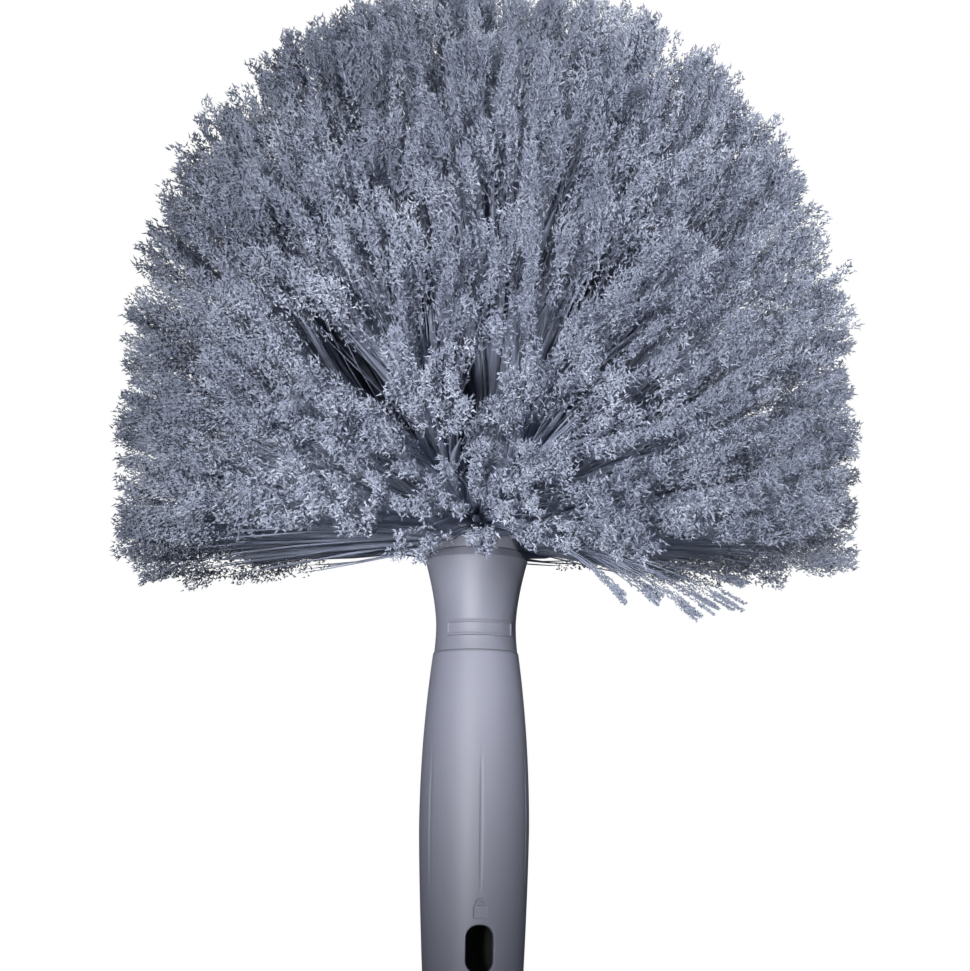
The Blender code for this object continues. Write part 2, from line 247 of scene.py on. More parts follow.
# Grip: one moulding in satin grey plastic, hollow below as the pole's tapered socket.
# It has a catch slot and a sunk padlock sign at the front, six shallow flutes round its belly,
# and a spigot on top that the collar is pushed over.
GRIP_LENGTH = 109.8 * MM
GRIP_END_RADIUS = 15.2 * MM
GRIP_BELLY_RADIUS = 17.3 * MM
GRIP_BELLY_HEIGHT = 55 * MM
GRIP_TOP_RADIUS = 13.6 * MM
GRIP_EDGE = 0.5 * MM
GRIP_TOP_EDGE = 0.15 * MM
LOWER_TAPER_POWER = 1.4
UPPER_TAPER_POWER = 2
SOCKET_MOUTH_RADIUS = 12.7 * MM
SOCKET_END_RADIUS = 9.5 * MM
SOCKET_DEPTH = 99.8 * MM
RECESS_FLOOR = 103.8 * MM
SPIGOT_RADIUS = 10.45 * MM
SPIGOT_WALL = 2.4 * MM
SPIGOT_TOP = 121.8 * MM
SCREW_HOLE_RADIUS = 2.6 * MM
SOCKET_STEPS = 12
# Painted shade in the socket: how far past its mouth the bore's painted shade reaches, and the share of
# colour left inside
BORE_SHADE_WALL = 0.8 * MM
BORE_SHADE_TONE = 0.03
GRIP_COLOUR = (0.228, 0.235, 0.3)
PLASTIC_GRAIN = 0.05 * MM

SLOT_WIDTH = 8.6 * MM
SLOT_HEIGHT = 14.4 * MM
SLOT_BOTTOM = 11 * MM
SLOT_CORNER = 3.8 * MM
SLOT_LIP = 0.45 * MM
SLOT_LIP_STEPS = 5
SLOT_CORNER_STEPS = 8

FLUTE_COUNT = 6
FLUTE_LENGTH = 46 * MM
FLUTE_WIDTH = 1.5 * MM
FLUTE_DEPTH = 0.3 * MM
FLUTE_MIDDLE = 57.4 * MM

SIGN_MIDDLE = 29.3 * MM
SIGN_HALF_WIDTH = 2.15 * MM
SIGN_HALF_HEIGHT = 1.9 * MM
SIGN_CORNER = 0.5 * MM
SIGN_BOW = 1.25 * MM
SIGN_BOW_WIDTH = 0.42 * MM
SIGN_DEPTH = 0.4 * MM
SIGN_EDGE = 0.16 * MM

# How far apart the grip's rows and columns of faces are: the coarse step, and the finest at the
# flutes and at the sign; columns are in radians. From there a step grows by a share of the way.
GRIP_ROW_STEP = 1.3 * MM
SIGN_ROW_STEP = 0.16 * MM
GRIP_COLUMN_STEP = 0.055
FLUTE_COLUMN_STEP = 0.01
SIGN_COLUMN_STEP = 0.008
STEP_GROWTH = 0.4
ROUND_STEPS = 4


def grip_radius(height):
    """The grip's outer radius: it swells from the open end to the belly, then draws in."""
    if height < GRIP_BELLY_HEIGHT:
        share = (GRIP_BELLY_HEIGHT - height) / GRIP_BELLY_HEIGHT
        return GRIP_BELLY_RADIUS - (GRIP_BELLY_RADIUS - GRIP_END_RADIUS) * share**LOWER_TAPER_POWER
    share = (height - GRIP_BELLY_HEIGHT) / (GRIP_LENGTH - GRIP_BELLY_HEIGHT)
    return GRIP_BELLY_RADIUS - (GRIP_BELLY_RADIUS - GRIP_TOP_RADIUS) * share**UPPER_TAPER_POWER


def soft_step(value, start, end):
    """0 at start and 1 at end, with a smooth run between them."""
    share = min(max((value - start) / (end - start), 0), 1)
    return share * share * (3 - 2 * share)


def bar_distance(across, up, half_width, half_height, corner):
    """How far a point lies outside a bar with round corners that is centred on (0, 0)."""
    x = abs(across) - half_width + corner
    z = abs(up) - half_height + corner
    return math.hypot(max(x, 0), max(z, 0)) + min(max(x, z), 0) - corner


def sign_depth(across, height):
    """How deep the padlock sign is sunk: its body below, and the arch of its bow above."""
    body = bar_distance(across, height - SIGN_MIDDLE, SIGN_HALF_WIDTH, SIGN_HALF_HEIGHT, SIGN_CORNER)
    up = max(height - SIGN_MIDDLE - SIGN_HALF_HEIGHT - SIGN_BOW_WIDTH, 0)
    bow = abs(math.hypot(across, up) - SIGN_BOW) - SIGN_BOW_WIDTH
    if height < SIGN_MIDDLE:
        bow = body
    return SIGN_DEPTH * soft_step(-min(body, bow), -SIGN_EDGE, SIGN_EDGE)


def grip_relief(angle, height):
    """How far the grip's face is sunk at an angle from the front: flutes and the sign."""
    pitch = math.tau / FLUTE_COUNT
    across = (angle - pitch * round(angle / pitch)) * GRIP_BELLY_RADIUS
    along = 2 * (height - FLUTE_MIDDLE) / FLUTE_LENGTH
    place = (2 * across / FLUTE_WIDTH) ** 2 + along**4
    sunk = FLUTE_DEPTH * (1 - place) ** 1.5 if place < 1 else 0
    turned_to_front = (angle + math.pi) % math.tau - math.pi
    return sunk + sign_depth(turned_to_front * GRIP_BELLY_RADIUS, height)


def graded(start, end, coarse, zones):
    """Places from start to end, coarse apart, drawn closer in and near each (foot, top, fine)."""
    places = [start]
    while places[-1] < end:
        here = places[-1]
        gaps = [fine + max(foot - here, here - top, 0) * STEP_GROWTH for foot, top, fine in zones]
        places.append(here + min([coarse, *gaps]))
    scale = (end - start) / (places[-1] - start)
    return [start + (place - start) * scale for place in places]


def turned_ring(outline, angles, relief):
    """A closed ring swept about Z from a closed outline of (radius, height) points.

    Angles are measured from the front, and relief sinks the points that have a third value.
    """
    shape = bmesh.new()
    rows = []
    for radius, height, *face in outline:
        row = []
        for angle in angles:
            reach = radius - relief(angle, height) if face else radius
            row.append(shape.verts.new((reach * math.sin(angle), -reach * math.cos(angle), height)))
        rows.append(row)
    for lower, upper in zip(rows, rows[1:] + rows[:1]):
        for left in range(len(angles)):
            right = (left + 1) % len(angles)
            shape.faces.new((lower[left], lower[right], upper[right], upper[left]))
    return shape


def edge_round(radius, height, size, start):
    """Points of a quarter circle of an outline: its centre, its size and its first angle."""
    turns = [math.radians(start + 90 * step / ROUND_STEPS) for step in range(ROUND_STEPS + 1)]
    return [(radius + size * math.cos(turn), height + size * math.sin(turn)) for turn in turns]


def slot_cutter():
    """The slot's tool: a bar with round corners that widens at the face to leave a rolled lip."""
    shape = bmesh.new()
    rings = []
    turns = [math.radians(90 / SLOT_LIP_STEPS * step) for step in range(SLOT_LIP_STEPS + 1)]
    lip = [(SLOT_LIP * (1 - math.sin(turn)), SLOT_LIP * (1 - math.cos(turn))) for turn in turns]
    rings_at = [(lip[0][0] + SLOT_LIP, -2 * SLOT_LIP), *lip, (0, GRIP_BELLY_RADIUS)]
    for spread, depth in rings_at:
        ring = []
        for start, x_way, z_way in ((0, 1, 1), (90, -1, 1), (180, -1, -1), (270, 1, -1)):
            for step in range(SLOT_CORNER_STEPS + 1):
                turn = math.radians(start + 90 * step / SLOT_CORNER_STEPS)
                x = x_way * (SLOT_WIDTH / 2 - SLOT_CORNER) + (SLOT_CORNER + spread) * math.cos(turn)
                z = z_way * (SLOT_HEIGHT / 2 - SLOT_CORNER) + (SLOT_CORNER + spread) * math.sin(turn)
                z += SLOT_BOTTOM + SLOT_HEIGHT / 2
                face = math.sqrt(grip_radius(z) ** 2 - x * x)
                ring.append(shape.verts.new((x, min(-face + depth, 0), z)))
        rings.append(ring)
    for outer, inner in zip(rings, rings[1:]):
        for left in range(len(outer)):
            right = (left + 1) % len(outer)
            shape.faces.new((outer[left], outer[right], inner[right], inner[left]))
    shape.faces.new(rings[0])
    shape.faces.new(rings[-1])
    bmesh.ops.recalc_face_normals(shape, faces=shape.faces)
    return shape


def cut(piece, shape):
    """Cuts a tool's bmesh out of an object, and gives the object its finished mesh."""
    tool = new_object("tool", shape)
    modifier = piece.modifiers.new("cut", "BOOLEAN")
    modifier.operation = "DIFFERENCE"
    modifier.solver = "EXACT"
    modifier.object = tool
    result = piece.evaluated_get(bpy.context.evaluated_depsgraph_get())
    finished = bpy.data.meshes.new_from_object(result)
    piece.modifiers.clear()
    piece.data = finished
    bpy.data.objects.remove(tool)
    piece.data.shade_smooth()
    piece.data.set_sharp_from_angle(angle=SHARP_ANGLE)


def satin_plastic(name, colour, roughness, painted_shade_radius=0):
    """Moulded plastic: a slow drift of tone, faint flow marks and a fine spark-eroded grain.

    Inside a given radius its colour is painted nearly black: painted shade for the unlit bore seen in
    the slot.
    """
    finish, nodes = new_finish(name)
    place = nodes("ShaderNodeTexCoord").named("Object")
    drift = nodes("ShaderNodeTexNoise", {}, {"Vector": place, "Scale": 26, "Detail": 3})
    stretched = nodes("ShaderNodeMapping", {}, {"Vector": place, "Scale": (420, 420, 60)})
    flow = nodes("ShaderNodeTexNoise", {}, {"Vector": stretched, "Scale": 1, "Detail": 2})
    fine = nodes("ShaderNodeTexNoise", {}, {"Vector": place, "Scale": 3800, "Detail": 2})
    specks = nodes("ShaderNodeTexVoronoi", {}, {"Vector": place, "Scale": 900})
    dust = nodes("ShaderNodeMapRange", {}, {"Value": specks, "From Min": 0.1, "From Max": 0.02})
    tone = 0.93 + drift * 0.1 + flow * 0.05 - dust * 0.05
    level = nodes("ShaderNodeVectorMath", {"operation": "MULTIPLY"}, {0: place, 1: (1, 1, 0)})
    from_axis = nodes("ShaderNodeVectorMath", {"operation": "LENGTH"}, {0: level}).named("Value")
    # Painted shade: the colour falls to a small share inside the given radius, where the bore is unlit
    painted_bore_shade = nodes("ShaderNodeMapRange", {}, {
        "Value": from_axis, "From Min": painted_shade_radius - 0.1 * MM, "From Max": painted_shade_radius + 0.2 * MM,
        "To Min": BORE_SHADE_TONE})
    shade = nodes("ShaderNodeVectorMath", {"operation": "SCALE"}, {0: colour, "Scale": tone * painted_bore_shade})
    bump = nodes("ShaderNodeBump", {}, {
        "Strength": 0.35, "Distance": PLASTIC_GRAIN, "Height": fine + flow * 0.4})
    plastic = nodes("ShaderNodeBsdfPrincipled", {}, {
        "Base Color": shade, "Roughness": roughness + drift * 0.06 + fine * 0.04,
        "Normal": bump, "IOR": 1.62})
    nodes("ShaderNodeOutputMaterial", {}, {"Surface": plastic})
    return finish


handle_plastic = satin_plastic(
    "handle_plastic", GRIP_COLOUR, roughness=0.5, painted_shade_radius=SOCKET_MOUTH_RADIUS + BORE_SHADE_WALL)

sign_reach = (SIGN_HALF_WIDTH + SIGN_EDGE) / GRIP_BELLY_RADIUS
flute_reach = FLUTE_WIDTH / 2 / GRIP_BELLY_RADIUS
half_round = FLUTE_COUNT // 2
angle_zones = [(-sign_reach, sign_reach, SIGN_COLUMN_STEP)] + [
    (middle - flute_reach, middle + flute_reach, FLUTE_COLUMN_STEP)
    for middle in (math.tau * flute / FLUTE_COUNT for flute in range(-half_round, half_round + 1))
]
sign_foot = SIGN_MIDDLE - SIGN_HALF_HEIGHT - SIGN_EDGE
sign_top = SIGN_MIDDLE + SIGN_HALF_HEIGHT + 2 * SIGN_BOW_WIDTH + SIGN_BOW + SIGN_EDGE
rows = graded(
    GRIP_EDGE, GRIP_LENGTH - GRIP_TOP_EDGE, GRIP_ROW_STEP, [(sign_foot, sign_top, SIGN_ROW_STEP)])
top_centre = GRIP_TOP_RADIUS - GRIP_TOP_EDGE, GRIP_LENGTH - GRIP_TOP_EDGE
grip_outline = [
    *edge_round(GRIP_END_RADIUS - GRIP_EDGE, GRIP_EDGE, GRIP_EDGE, 270)[:-1],
    *[(grip_radius(height), height, True) for height in rows[:-1]],
    *edge_round(*top_centre, GRIP_TOP_EDGE, 0),
    (SPIGOT_RADIUS, GRIP_LENGTH),
    (SPIGOT_RADIUS, SPIGOT_TOP),
    (SPIGOT_RADIUS - SPIGOT_WALL, SPIGOT_TOP),
    (SPIGOT_RADIUS - SPIGOT_WALL, RECESS_FLOOR),
    (SCREW_HOLE_RADIUS, RECESS_FLOOR),
    (SCREW_HOLE_RADIUS, SOCKET_DEPTH),
    (SOCKET_END_RADIUS, SOCKET_DEPTH),
    *[(SOCKET_END_RADIUS + (SOCKET_MOUTH_RADIUS - SOCKET_END_RADIUS) * step / SOCKET_STEPS,
       SOCKET_DEPTH + (GRIP_EDGE - SOCKET_DEPTH) * step / SOCKET_STEPS)
      for step in range(1, SOCKET_STEPS)],
    *edge_round(SOCKET_MOUTH_RADIUS + GRIP_EDGE, GRIP_EDGE, GRIP_EDGE, 180),
]
angles = graded(-math.pi, math.pi, GRIP_COLUMN_STEP, angle_zones)[:-1]
grip = new_object("grip_moulding", turned_ring(grip_outline, angles, grip_relief), handle_plastic)
cut(grip, slot_cutter())
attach(grip, "root")
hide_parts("grip")


# Collar: a second moulding in the same plastic, pushed over the grip's spigot. It has a narrow
# waist with a bare raised bar at the front, a flare to a crisp lip, and a chamfer up to the rim
# that the brush block sits on.
COLLAR_FOOT = 109.9 * MM
COLLAR_FOOT_RADIUS = 13.3 * MM
COLLAR_WAIST_RADIUS = 12.75 * MM
COLLAR_WAIST_HEIGHT = 8.9 * MM
COLLAR_LIP_RADIUS = 16.4 * MM
COLLAR_LIP_HEIGHT = 29.6 * MM
COLLAR_FLARE_POWER = 1.6
COLLAR_EDGE = 0.17 * MM
LIP_FALL = 0.02 * MM
LIP_ROUND = 0.12 * MM
RIM_ROUND = 0.1 * MM
RIM_STEP = 0.15 * MM
COLLAR_TOP = 142.2 * MM
COLLAR_TOP_RADIUS = 14 * MM
COLLAR_SEAT_RADIUS = 10.5 * MM
WEB_FOOT = 122.1 * MM
WEB_TOP = 126.1 * MM
COLLAR_BORE_RADIUS = 10.75 * MM
STEM_HOLE_RADIUS = 5.3 * MM

BADGE_HALF_ANGLE = math.radians(52)
BADGE_HALF_HEIGHT = 2.4 * MM
BADGE_MIDDLE = 6.9 * MM
BADGE_RELIEF = 0.5 * MM
BADGE_FLOOR = 0.32 * MM
BADGE_RIM = 0.55 * MM
BADGE_CORNER = 0.5 * MM
BADGE_EDGE = 0.14 * MM

COLLAR_ROW_STEP = 0.7 * MM
BADGE_ROW_STEP = 0.09 * MM
COLLAR_COLUMN_STEP = 0.045
BADGE_COLUMN_STEP = 0.009
# The collar's plastic is the grip's, painted darker as painted shade
COLLAR_SHADED_COLOUR = (0.195, 0.202, 0.256)


def collar_radius(height):
    """The collar's outer radius at a height above its foot: a waist, then a flare to the lip."""
    if height < COLLAR_WAIST_HEIGHT:
        share = 1 - height / COLLAR_WAIST_HEIGHT
        return COLLAR_WAIST_RADIUS + (COLLAR_FOOT_RADIUS - COLLAR_WAIST_RADIUS) * share**2
    share = (height - COLLAR_WAIST_HEIGHT) / (COLLAR_LIP_HEIGHT - COLLAR_WAIST_HEIGHT)
    return COLLAR_WAIST_RADIUS + (COLLAR_LIP_RADIUS - COLLAR_WAIST_RADIUS) * share**COLLAR_FLARE_POWER


def badge_relief(angle, height):
    """How far the bare bar stands proud, as a negative depth: a slim rim round a lower floor."""
    across = angle * COLLAR_WAIST_RADIUS
    up = height - COLLAR_FOOT - BADGE_MIDDLE
    half_width = BADGE_HALF_ANGLE * COLLAR_WAIST_RADIUS
    outside = bar_distance(across, up, half_width, BADGE_HALF_HEIGHT, BADGE_CORNER)
    proud = BADGE_RELIEF * soft_step(-outside, -BADGE_EDGE, BADGE_EDGE)
    sunk = BADGE_FLOOR * soft_step(-outside, BADGE_RIM, BADGE_RIM + 2 * BADGE_EDGE)
    return sunk - proud


badge_rows = [COLLAR_FOOT + BADGE_MIDDLE + way * BADGE_HALF_HEIGHT for way in (-1, 1)]
row_zones = [
    (badge_rows[0] - BADGE_EDGE, badge_rows[0] + BADGE_RIM + 2 * BADGE_EDGE, BADGE_ROW_STEP),
    (badge_rows[1] - BADGE_RIM - 2 * BADGE_EDGE, badge_rows[1] + BADGE_EDGE, BADGE_ROW_STEP),
]
end_reach = (BADGE_RIM + 2 * BADGE_EDGE) / COLLAR_WAIST_RADIUS
angle_zones = [
    (way * BADGE_HALF_ANGLE - end_reach, way * BADGE_HALF_ANGLE + end_reach, BADGE_COLUMN_STEP)
    for way in (-1, 1)
]
lip = COLLAR_FOOT + COLLAR_LIP_HEIGHT
rows = graded(COLLAR_FOOT + COLLAR_EDGE, lip - COLLAR_EDGE, COLLAR_ROW_STEP, row_zones)
chamfer = Vector((COLLAR_TOP_RADIUS - COLLAR_LIP_RADIUS, COLLAR_TOP - lip)).normalized()
collar_outline = [
    (COLLAR_BORE_RADIUS, COLLAR_FOOT),
    *edge_round(
        COLLAR_FOOT_RADIUS - COLLAR_EDGE, COLLAR_FOOT + COLLAR_EDGE, COLLAR_EDGE, 270)[:-1],
    *[(collar_radius(height - COLLAR_FOOT), height, True) for height in rows],
    (COLLAR_LIP_RADIUS - LIP_FALL, lip - LIP_ROUND),
    (COLLAR_LIP_RADIUS + chamfer.x * LIP_ROUND, lip + chamfer.y * LIP_ROUND),
    (COLLAR_LIP_RADIUS + chamfer.x * COLLAR_EDGE, lip + chamfer.y * COLLAR_EDGE),
    (COLLAR_TOP_RADIUS - chamfer.x * COLLAR_EDGE, COLLAR_TOP - chamfer.y * COLLAR_EDGE),
    (COLLAR_TOP_RADIUS - chamfer.x * RIM_ROUND, COLLAR_TOP - chamfer.y * RIM_ROUND),
    (COLLAR_TOP_RADIUS - RIM_STEP, COLLAR_TOP),
    (COLLAR_SEAT_RADIUS, COLLAR_TOP),
    (COLLAR_SEAT_RADIUS, WEB_TOP),
    (STEM_HOLE_RADIUS, WEB_TOP),
    (STEM_HOLE_RADIUS, WEB_FOOT),
    (COLLAR_BORE_RADIUS, WEB_FOOT),
]
angles = graded(-math.pi, math.pi, COLLAR_COLUMN_STEP, angle_zones)[:-1]
collar_plastic = satin_plastic("collar_plastic", COLLAR_SHADED_COLOUR, roughness=0.5)
collar_shape = turned_ring(collar_outline, angles, badge_relief)
collar = new_object("collar_moulding", collar_shape, collar_plastic)
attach(collar, "root")
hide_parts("collar")


# Brush block: a turned plastic dome with a skirt on the collar's rim, a plug and stem inside the
# collar, and a round hole drilled for each tuft.
BLOCK_RADIUS = 13.6 * MM
BLOCK_FOOT = 142.5 * MM
DOME_FOOT = 144 * MM
DOME_HEIGHT = 24 * MM
PLUG_RADIUS = 10.2 * MM
PLUG_FOOT = 126.4 * MM
STEM_RADIUS = 5 * MM
STEM_FOOT = 104.1 * MM
PILOT_RADIUS = 2.5 * MM
PILOT_TOP = 123.3 * MM
HOLE_RADIUS = 1.6 * MM
HOLE_DEPTH = 3.3 * MM
HOLE_SEGMENTS = 20
DRILL_OVERRUN = 2 * MM
BLOCK_EDGE = 0.2 * MM
BLOCK_COLUMNS = 96
DOME_STEPS = 24
BLOCK_COLOUR = (0.21, 0.217, 0.265)

# Each row of tufts from the skirt up: how many, the place on the dome and the way its holes are
# drilled, both in degrees above level
TUFT_ROWS = ((13, 8, 0), (13, 22, 13), (11, 36, 28), (8, 51, 45), (5, 68, 66), (1, 90, 90))


def direction(azimuth, elevation):
    """The way that points round by an azimuth from +X and up by an elevation."""
    flat = math.cos(elevation)
    return Vector((flat * math.cos(azimuth), flat * math.sin(azimuth), math.sin(elevation)))


def dome_point(angle):
    """(radius, height) on the block's dome, from 0 degrees at its foot to 90 at its top."""
    turn = math.radians(angle)
    return BLOCK_RADIUS * math.cos(turn), DOME_FOOT + DOME_HEIGHT * math.sin(turn)


def tuft_places():
    """(name, row, frame of its hole, azimuth, azimuth pitch) of every tuft."""
    for row, (count, place, hole) in enumerate(TUFT_ROWS, 1):
        radius, height = dome_point(place)
        for index in range(count):
            azimuth = math.tau * (index + 0.5 * (row % 2)) / count
            axis = direction(azimuth, math.radians(hole))
            across = Vector((-math.sin(azimuth), math.cos(azimuth), 0))
            place_in = Matrix((across, axis.cross(across), axis)).transposed().to_4x4()
            place_in.translation = radius * math.cos(azimuth), radius * math.sin(azimuth), height
            yield f"tuft_{row}_{index + 1:02d}", row, place_in, azimuth, math.tau / count


block_outline = [
    (PILOT_RADIUS, PILOT_TOP),
    (PILOT_RADIUS, STEM_FOOT),
    (STEM_RADIUS, STEM_FOOT),
    (STEM_RADIUS, PLUG_FOOT),
    (PLUG_RADIUS, PLUG_FOOT),
    (PLUG_RADIUS, BLOCK_FOOT),
    (BLOCK_RADIUS - BLOCK_EDGE, BLOCK_FOOT),
    (BLOCK_RADIUS, BLOCK_FOOT + BLOCK_EDGE),
    *[dome_point(90 * step / DOME_STEPS) for step in range(DOME_STEPS)],
]
shape = bmesh.new()
turns = [math.tau * column / BLOCK_COLUMNS for column in range(BLOCK_COLUMNS)]
rows = [
    [shape.verts.new((radius * math.cos(turn), radius * math.sin(turn), height)) for turn in turns]
    for radius, height in block_outline
]
for lower, upper in zip(rows, rows[1:]):
    for left in range(BLOCK_COLUMNS):
        right = (left + 1) % BLOCK_COLUMNS
        shape.faces.new((lower[left], lower[right], upper[right], upper[left]))
for ring, height in ((rows[0], PILOT_TOP), (rows[-1], DOME_FOOT + DOME_HEIGHT)):
    pole = shape.verts.new((0, 0, height))
    for left in range(BLOCK_COLUMNS):
        shape.faces.new((ring[left], ring[(left + 1) % BLOCK_COLUMNS], pole))
bmesh.ops.recalc_face_normals(shape, faces=shape.faces)
holes = bmesh.new()
middle = Matrix.Translation((0, 0, (DRILL_OVERRUN - HOLE_DEPTH) / 2))
for _, _, place_in, *_ in tuft_places():
    bmesh.ops.create_cone(
        holes, cap_ends=True, segments=HOLE_SEGMENTS, radius1=HOLE_RADIUS, radius2=HOLE_RADIUS,
        depth=HOLE_DEPTH + DRILL_OVERRUN, matrix=place_in @ middle)
block_plastic = satin_plastic("block_plastic", BLOCK_COLOUR, roughness=0.55)
block = new_object("turned_block", shape, block_plastic)
cut(block, holes)
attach(block, "root")
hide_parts("brush_block")


# Screw and washer: zinc-plated steel, driven up the socket into the block's stem, so that the
# block pulls the collar down on the grip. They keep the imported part's shapes.
zinc_steel, nodes = new_finish("zinc_steel")
place = nodes("ShaderNodeTexCoord").named("Object")
patches = nodes("ShaderNodeTexNoise", {}, {"Vector": place, "Scale": 700, "Detail": 4})
grain = nodes("ShaderNodeTexNoise", {}, {"Vector": place, "Scale": 4000, "Detail": 2})
sheen = nodes("ShaderNodeValToRGB", {
    "stops": [(0.35, (0.52, 0.53, 0.55)), (0.65, (0.72, 0.72, 0.7))]}, {0: patches})
bump = nodes("ShaderNodeBump", {}, {"Strength": 0.2, "Distance": 0.02 * MM, "Height": grain})
steel = nodes("ShaderNodeBsdfPrincipled", {}, {
    "Base Color": sheen, "Metallic": 1, "Roughness": 0.25 + patches * 0.2, "Normal": bump})
nodes("ShaderNodeOutputMaterial", {}, {"Surface": steel})
for name in ("block_screw", "screw_washer"):
    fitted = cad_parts[name].data
    fitted.materials.clear()
    fitted.materials.append(zinc_steel)


# Bristles: each tuft is a bundle of grey plastic filaments packed in its hole. The filaments
# part into locks, and the outer quarter or so of each is flagged: split into hundreds of fibrils.
SEED = 7
LOCK_BOW_SHARE = 0.45
LOCK_JITTER_SHARE = 0.28
SHORT_LOCK_SHARE = 0.25
SHORT_CUT_SHARES = (0.03, 0.17)
LONG_CUT_SHARES = (0, 0.015)
GOLDEN_ANGLE = math.pi * (3 - math.sqrt(5))
BACK_LIFT = math.radians(19)
RIGHT_LIFT = math.radians(4.5)
LEFT_LIFT = math.radians(2)
FRONT_DROP = math.radians(3.3)
HEAD_SHIFT = 3.2 * MM
HEAD_CENTRE = 145.5 * MM
SIDE_REACH = 118.5 * MM
SHOULDER_REACH = 69 * MM
REACH_POWER = 2
TOP_REACH = 179.5 * MM
GUIDE_POINTS = 7
FILAMENTS_PER_LOCK = 5
FILAMENT_RADIUS = 0.28 * MM
FILAMENT_WANDER = 8 * MM
FLAG_SPREAD = 1.7 * MM
# How high above the head's centre the painted light on the lowest shafts fades out
PAINTED_LOW_LIGHT_RISE = 35 * MM

# The locks of a tuft end in a grid on the head's outline: how many go round the head and how many
# up it, between the lowest and the highest angle that the row's tips reach
ROW_LOCKS = (
    (4, 3, -7, 7),
    (4, 3, 7, 22),
    (5, 3, 22, 39),
    (6, 4, 39, 58),
    (8, 4, 58, 77),
    (34, 1, 77, 90),
)

# How many pieces each row is grown in: the crown's tuft is row 6, and goes with the second of row
# 5. HAIR is a small angle that keeps rounding from moving a tuft that starts a piece.
PACK_PARTS = (2, 2, 3, 3, 3)
CROWN_ROW = 6
CROWN_PART = 1
HAIR = 1e-6

# For each of those five rows: the radius of the dense strand inside a lock, which stands for the
# filaments packed in its middle, and the number of points along it
CORE_RADII = (1.5 * MM, 1.5 * MM, 1.8 * MM, 2.2 * MM, 3 * MM)
CORE_POINTS = 5

# For each of those rows: how far the filaments of a lock splay, how much shorter than the rest one
# can be and where its flagged part starts (both as shares of its length), and how many fibrils it
# has along that part and again near the tip, with their length and the radius of their root
ROW_FLAGS = (
    (6 * MM, 0.04, 0.7, 42, 46, 1.7 * MM, 0.34 * MM),
    (6 * MM, 0.04, 0.7, 42, 46, 1.7 * MM, 0.34 * MM),
    (7 * MM, 0.05, 0.72, 46, 48, 1.75 * MM, 0.35 * MM),
    (9 * MM, 0.05, 0.75, 50, 50, 1.85 * MM, 0.37 * MM),
    (9.5 * MM, 0.05, 0.77, 56, 52, 1.85 * MM, 0.37 * MM),
)

# Thin locks that hang loose from the lowest row at the right: the azimuth and elevation of each
# tip in degrees, and how far out it is
STRAY_LOCKS = (
    (322, -24, 55 * MM), (340, -20, 60 * MM), (334, -21, 74 * MM),
    (345, -16.5, 77 * MM), (350, -14, 85 * MM), (2, -7, 89 * MM),
)
STRAY_LOOSENESS = 0.25

# Where the bristles have parted so that the dark shafts show: the azimuth and elevation of each
# parting's middle in degrees, and its radius
PARTINGS = (
    (242, 20, 19 * MM), (254, 24, 14 * MM), (256, 37, 12 * MM), (274, 12, 15 * MM),
    (262, 20, 11 * MM), (254, 8, 14 * MM), (292, 0, 11 * MM), (238, 2, 7 * MM),
    (234, 32, 11 * MM), (212, 20, 12 * MM), (276, 37, 8 * MM), (282, 20, 10 * MM),
    (296, 28, 9 * MM), (310, 14, 10 * MM), (290, 10, 9 * MM),
    (246, 50, 8 * MM), (200, 50, 9 * MM), (20, 15, 13 * MM),
    (45, 35, 11 * MM), (70, 10, 13 * MM),
    (128, 18, 14 * MM), (150, 40, 10 * MM), (166, 8, 12 * MM), (350, 30, 10 * MM),
    (335, 5, 11 * MM), (188, 33, 10 * MM), (30, 62, 9 * MM), (160, 66, 9 * MM),
)


def tip_point(azimuth, elevation, trim):
    """Where a lock ends: the head's rim hangs low in front, higher at the sides, highest behind."""
    lift = BACK_LIFT * ((1 + math.sin(azimuth)) / 2) ** 8
    lift += RIGHT_LIFT * max(math.cos(azimuth), 0) ** 2
    lift += LEFT_LIFT * max(-math.cos(azimuth), 0) ** 2
    lift -= FRONT_DROP * max(-math.sin(azimuth), 0) ** 6
    elevation += lift * (1 - elevation / (math.pi / 2))
    rise = max(math.sin(elevation), 0) ** REACH_POWER
    reach = min(SIDE_REACH + SHOULDER_REACH * rise, TOP_REACH)
    return Vector((HEAD_SHIFT, 0, HEAD_CENTRE)) + direction(azimuth, elevation) * reach * trim


